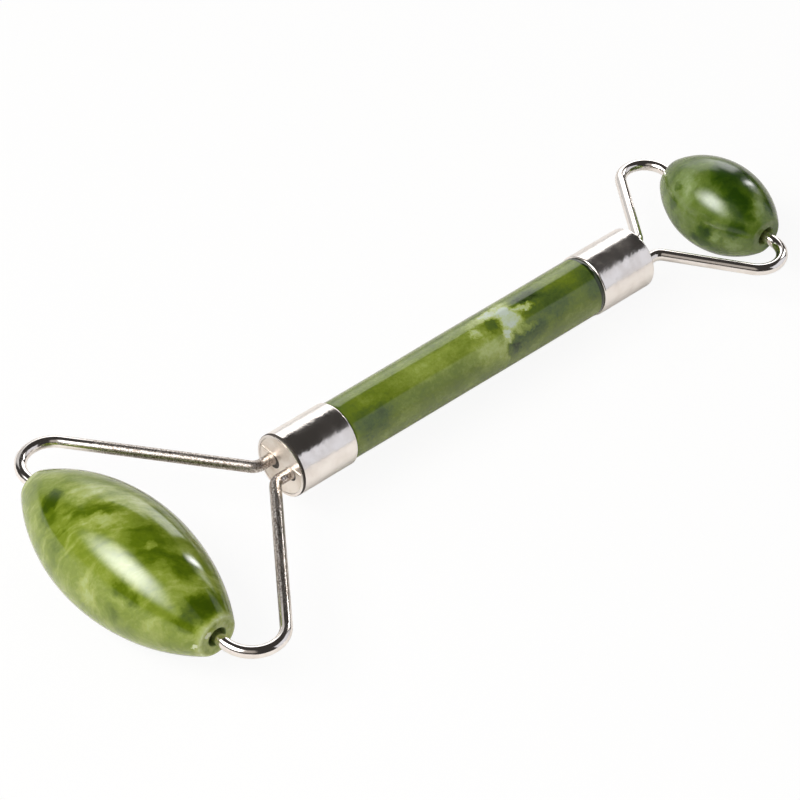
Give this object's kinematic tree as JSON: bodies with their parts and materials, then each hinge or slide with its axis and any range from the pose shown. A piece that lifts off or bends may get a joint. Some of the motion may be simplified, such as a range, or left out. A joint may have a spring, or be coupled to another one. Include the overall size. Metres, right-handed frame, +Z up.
{
  "type": "jade face roller",
  "caption": "Double-ended face massage roller: a jade rod handle with a plated wire yoke at each end, each holding a free-turning barrel-shaped jade stone, one large and one small.",
  "frame": {"origin": "middle of the roller's bounding box, on the table that both stones rest on", "axes": "+X along the handle towards the small stone, +Y along the stones' axes, +Z up from the table"},
  "size_m": [0.145, 0.0568, 0.0196],
  "materials": {
    "handle_jade": "polished, cloudy green with a pale vein",
    "large_stone_jade": "polished, light yellow-green with swirling veins",
    "small_stone_jade": "polished, deep green, slightly translucent",
    "plated_ferrule": "polished nickel plating, slightly wavy",
    "plated_disc": "polished nickel plating, flat",
    "plated_wire": "polished nickel plating on drawn wire",
    "epoxy": "cast, cloudy amber",
    "nylon": "moulded, natural white"
  },
  "bodies": {
    "handle": {"handle_rod": "handle_jade", "large_ferrule": "plated_ferrule", "small_ferrule": "plated_ferrule", "large_end_disc": "plated_disc", "small_end_disc": "plated_disc", "large_glue_plug": "epoxy", "small_glue_plug": "epoxy", "large_yoke": "plated_wire", "small_yoke": "plated_wire"},
    "large_roller": {"large_stone": "large_stone_jade", "large_bush_near": "nylon", "large_bush_far": "nylon"},
    "small_roller": {"small_stone": "small_stone_jade", "small_bush_near": "nylon", "small_bush_far": "nylon"}
  },
  "joints": [
    {"name": "large_roll", "type": "hinge", "parent": "handle", "child": "large_roller", "pos_m": [-0.06272, 0, 0.0098], "axis": [0, 1, 0], "continuous": true},
    {"name": "small_roll", "type": "hinge", "parent": "handle", "child": "small_roller", "pos_m": [0.06487, 0, 0.00765], "axis": [0, 1, 0], "continuous": true}
  ]
}
